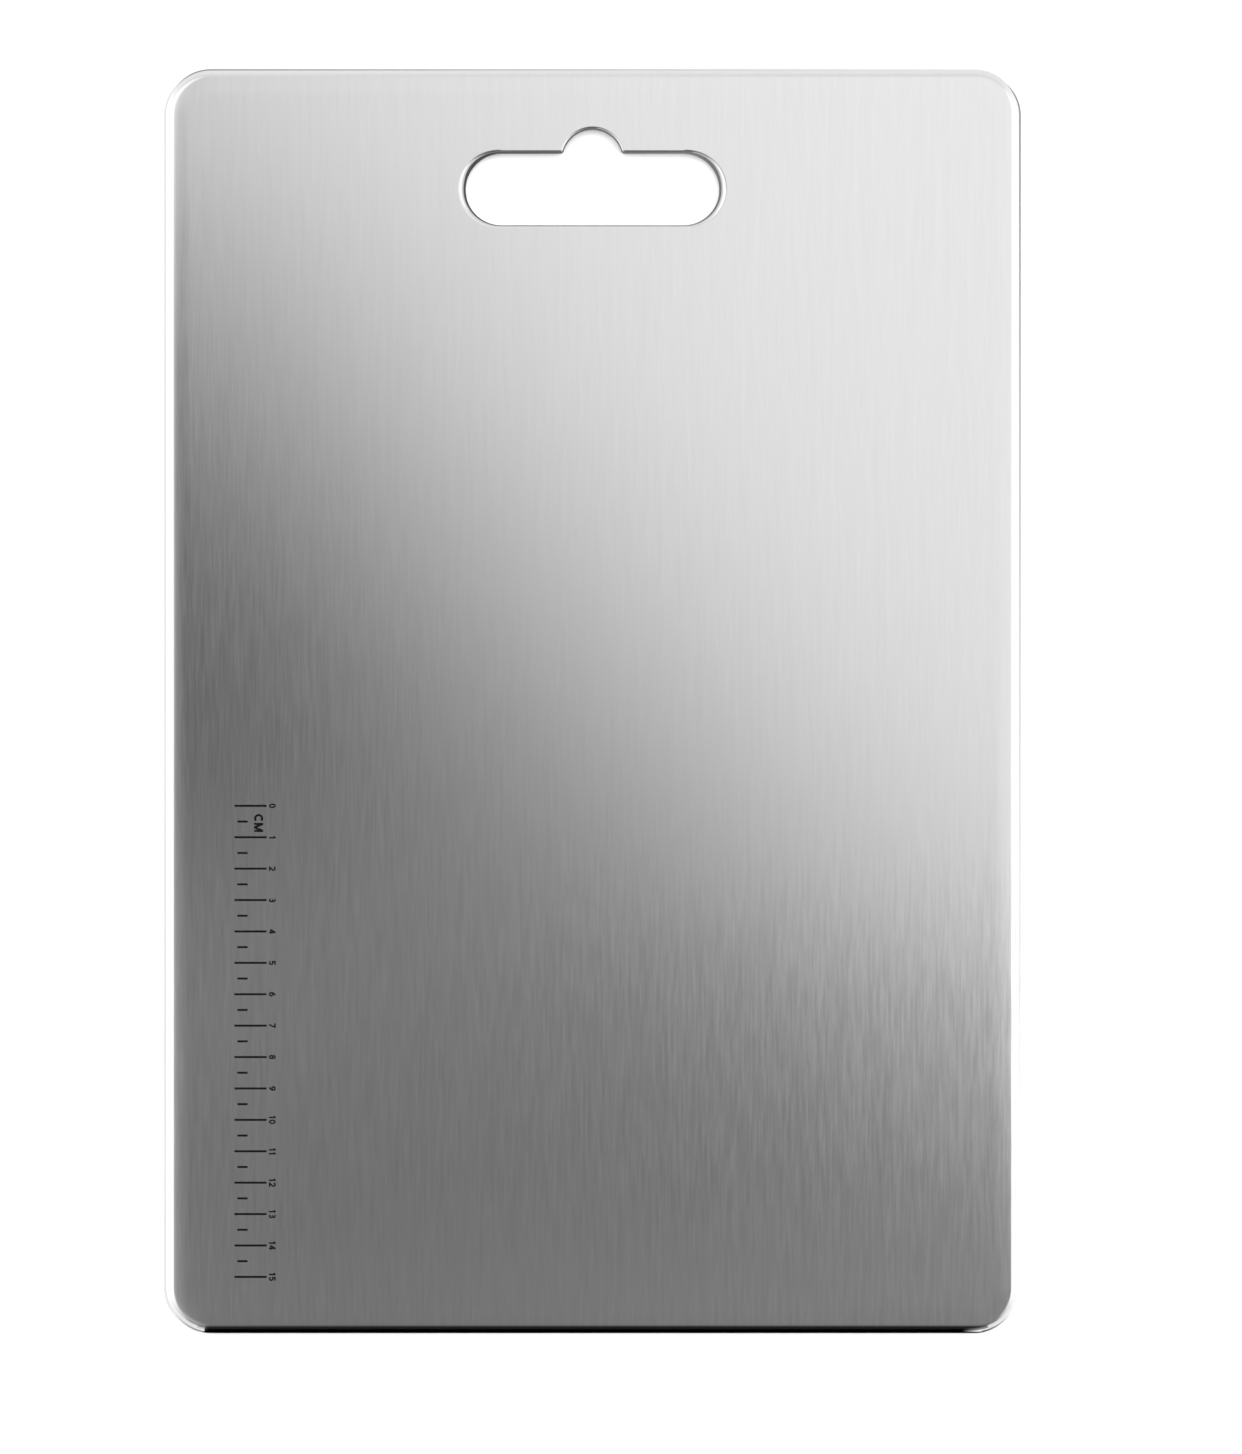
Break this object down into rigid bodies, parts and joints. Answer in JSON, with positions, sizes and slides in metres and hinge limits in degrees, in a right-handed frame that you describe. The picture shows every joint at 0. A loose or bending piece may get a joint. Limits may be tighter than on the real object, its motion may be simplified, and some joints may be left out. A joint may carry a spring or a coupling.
{
  "type": "steel cutting board",
  "caption": "Flat stainless steel cutting board with a rolled rim, a hand slot with a hanging notch and a printed centimetre scale.",
  "frame": {"origin": "middle of the board's outline, on the surface that the board lies on", "axes": "+Z out of the cutting face; +Y along the board to the end with the hand slot; +X to the right when the cutting face is looked at with the slot at the top"},
  "size_m": [0.2734, 0.4034, 0.005],
  "materials": {
    "face_steel": "cutting face brushed along the board's length, rolled rim and slot edge polished",
    "back_steel": "plain satin sheet",
    "core_plastic": "natural polypropylene, as sheared",
    "scale_ink": "thin film of black ink"
  },
  "bodies": {
    "root": {"front_skin": "face_steel", "back_skin": "back_steel", "core_board": "core_plastic", "centimetre_lines": "scale_ink", "half_centimetre_lines": "scale_ink", "unit_letters": "scale_ink", "numeral_0": "scale_ink", "numeral_1": "scale_ink", "numeral_2": "scale_ink", "numeral_3": "scale_ink", "numeral_4": "scale_ink", "numeral_5": "scale_ink", "numeral_6": "scale_ink", "numeral_7": "scale_ink", "numeral_8": "scale_ink", "numeral_9": "scale_ink", "numeral_10": "scale_ink", "numeral_11": "scale_ink", "numeral_12": "scale_ink", "numeral_13": "scale_ink", "numeral_14": "scale_ink", "numeral_15": "scale_ink"}
  },
  "joints": []
}
